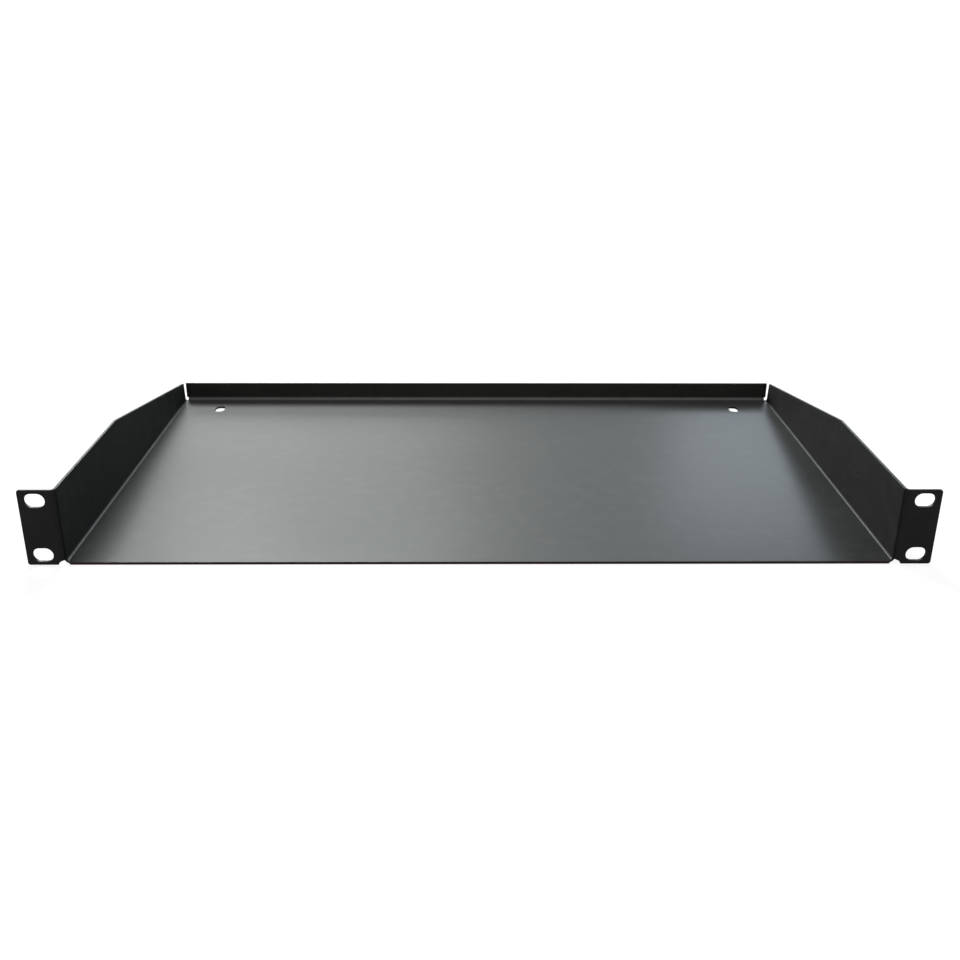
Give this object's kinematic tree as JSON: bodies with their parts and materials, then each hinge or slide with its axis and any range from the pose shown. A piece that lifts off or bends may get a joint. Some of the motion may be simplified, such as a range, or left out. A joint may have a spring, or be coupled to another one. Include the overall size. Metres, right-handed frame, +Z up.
{
  "type": "cantilever rack shelf",
  "caption": "Low folded steel shelf for a 19 inch rack, with slotted front ears, side wings that slope down to the back, a low rear lip and slots in the floor.",
  "frame": {"origin": "centre of the four ear slots, in the plane of the ears' rear faces, which bear on the rack's rails", "axes": "+X to the right across the rack, +Y into the rack from the ears to the rear lip, +Z up"},
  "size_m": [0.4826, 0.254, 0.0436],
  "materials": {
    "powder_coat": "satin black powder coat on folded sheet steel"
  },
  "bodies": {
    "root": {"folded_shelf": "powder_coat"}
  },
  "joints": []
}
